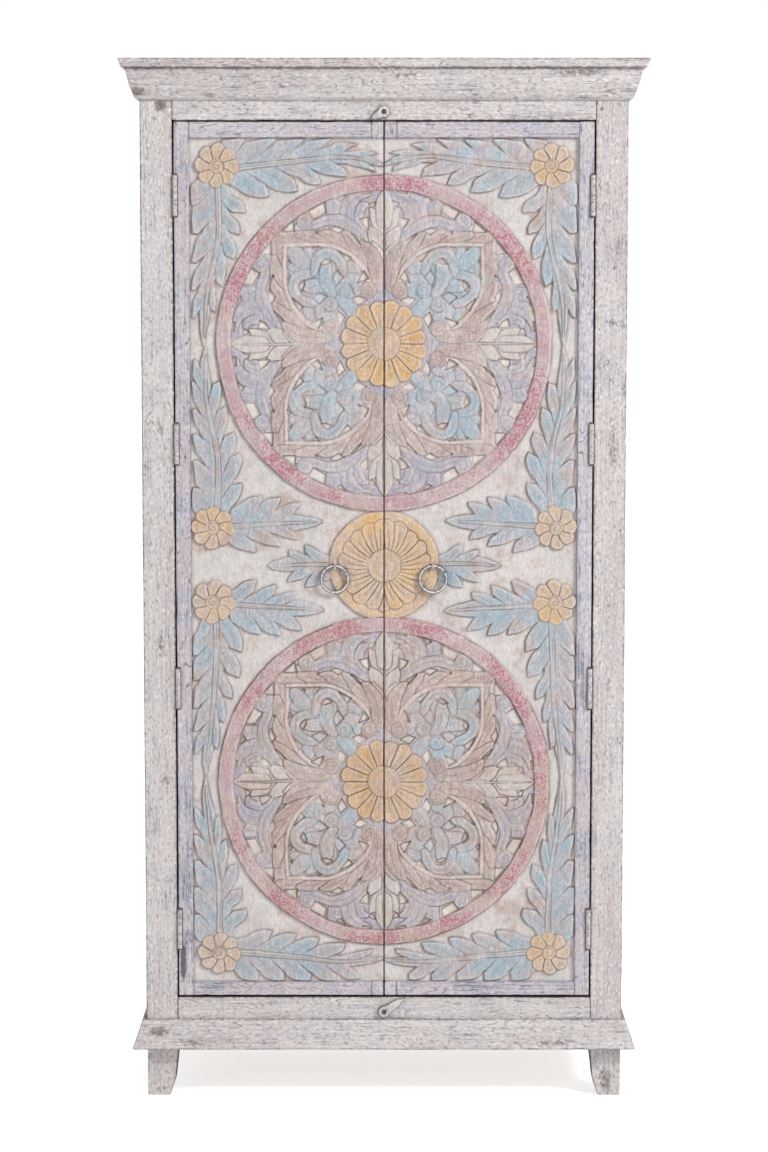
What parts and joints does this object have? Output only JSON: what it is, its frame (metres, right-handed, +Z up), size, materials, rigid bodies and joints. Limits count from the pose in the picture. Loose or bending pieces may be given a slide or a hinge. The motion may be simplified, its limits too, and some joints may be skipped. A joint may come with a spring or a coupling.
{
  "type": "carved cabinet",
  "caption": "Tall two-door cupboard with carved, painted door panels, shelves inside, ring pulls, turn buttons, a cornice and splayed base on short feet.",
  "frame": {"origin": "on the floor, at the middle of the overall box", "axes": "+Z up, -Y is the front with the doors, +X to the right seen from the front"},
  "size_m": [0.9, 0.4, 1.8],
  "materials": {
    "whitewash": "wire-brushed boards under thin white paint, worn through at the edges",
    "lilac_wash": "brushed boards under a lilac-grey wash",
    "carved_paint": "carved relief, dry-brushed in blue, ochre, rose and cream",
    "inner_wood": "whitewashed planks",
    "back_wood": "thinly whitewashed planks",
    "hinge_iron": "iron, painted over and rubbed",
    "pull_iron": "hammered iron with rubbed white paint",
    "screw_steel": "dark screws",
    "button_wood": "whittled wood, white paint"
  },
  "bodies": {
    "cabinet": {"right_front_stile": "whitewash", "left_front_stile": "whitewash", "front_top_rail": "whitewash", "front_bottom_rail": "whitewash", "right_side_panel": "whitewash", "left_side_panel": "whitewash", "bottom_board": "inner_wood", "top_board": "inner_wood", "back_boards": "back_wood", "lower_shelf": "inner_wood", "middle_shelf": "inner_wood", "upper_shelf": "inner_wood", "shelf_battens": "inner_wood", "upper_door_stop": "inner_wood", "lower_door_stop": "inner_wood", "cornice_front": "whitewash", "right_cornice": "whitewash", "left_cornice": "whitewash", "base_moulding_front": "whitewash", "right_base_moulding": "whitewash", "left_base_moulding": "whitewash", "cap_board": "whitewash", "right_front_foot": "whitewash", "left_front_foot": "whitewash", "right_rear_foot": "whitewash", "left_rear_foot": "whitewash", "right_hinge_frame_leaves": "hinge_iron", "left_hinge_frame_leaves": "hinge_iron", "right_hinge_pins": "hinge_iron", "left_hinge_pins": "hinge_iron", "right_hinge_frame_screws": "screw_steel", "left_hinge_frame_screws": "screw_steel", "upper_button_screw": "screw_steel", "lower_button_screw": "screw_steel"},
    "left_door": {"left_carved_panel": "carved_paint", "left_door_outer_stile": "lilac_wash", "left_door_inner_stile": "lilac_wash", "left_door_top_rail": "lilac_wash", "left_door_bottom_rail": "lilac_wash", "left_hinge_door_leaves": "hinge_iron", "left_hinge_door_screws": "screw_steel", "left_ring_pull_eye": "pull_iron"},
    "right_door": {"right_carved_panel": "carved_paint", "right_door_outer_stile": "lilac_wash", "right_door_inner_stile": "lilac_wash", "right_door_top_rail": "lilac_wash", "right_door_bottom_rail": "lilac_wash", "right_hinge_door_leaves": "hinge_iron", "right_hinge_door_screws": "screw_steel", "right_ring_pull_eye": "pull_iron"},
    "left_pull": {"left_ring_pull": "pull_iron"},
    "right_pull": {"right_ring_pull": "pull_iron"},
    "upper_button": {"upper_turn_button": "button_wood"},
    "lower_button": {"lower_turn_button": "button_wood"}
  },
  "joints": [
    {"name": "left_door_hinge", "type": "hinge", "parent": "cabinet", "child": "left_door", "pos_m": [-0.3567, -0.167, 0.177], "axis": [0, 0, -1], "range_deg": [0, 170]},
    {"name": "right_door_hinge", "type": "hinge", "parent": "cabinet", "child": "right_door", "pos_m": [0.3567, -0.167, 0.177], "axis": [0, 0, 1], "range_deg": [0, 170]},
    {"name": "left_pull_swing", "type": "hinge", "parent": "left_door", "child": "left_pull", "pos_m": [-0.085, -0.1695, 0.936], "axis": [-1, 0, 0], "range_deg": [0, 175]},
    {"name": "right_pull_swing", "type": "hinge", "parent": "right_door", "child": "right_pull", "pos_m": [0.085, -0.1695, 0.936], "axis": [-1, 0, 0], "range_deg": [0, 175]},
    {"name": "upper_button_turn", "type": "hinge", "parent": "cabinet", "child": "upper_button", "pos_m": [0, -0.1669, 1.7115], "axis": [0, -1, 0], "range_deg": [-30, 150]},
    {"name": "lower_button_turn", "type": "hinge", "parent": "cabinet", "child": "lower_button", "pos_m": [0, -0.1669, 0.152], "axis": [0, -1, 0], "range_deg": [-30, 140]}
  ]
}
